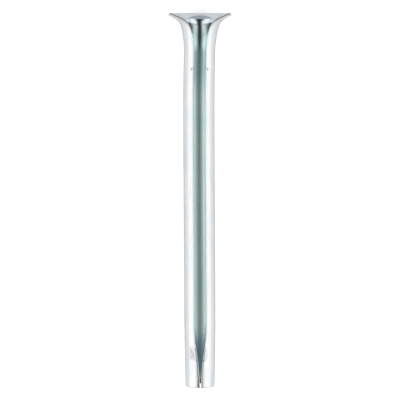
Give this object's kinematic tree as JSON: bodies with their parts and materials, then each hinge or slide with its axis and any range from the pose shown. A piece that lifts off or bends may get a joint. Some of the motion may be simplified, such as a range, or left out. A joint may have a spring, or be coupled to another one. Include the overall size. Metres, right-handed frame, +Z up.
{
  "type": "hammer drive anchor",
  "caption": "Slit steel sleeve with a trumpet-flared head and a crimped, slightly tapered tip, driven whole into a drilled hole.",
  "frame": {"origin": "middle of the footprint, on the surface that the sleeve lies on", "axes": "+Y along the sleeve towards its flared head, +Z up, through the middle of the slit"},
  "size_m": [0.0136, 0.0804, 0.01],
  "materials": {
    "zinc_plated_steel": "bright zinc plating with a clear blue passivation, over cold-rolled spring steel strip"
  },
  "bodies": {
    "root": {"slit_sleeve": "zinc_plated_steel"}
  },
  "joints": []
}
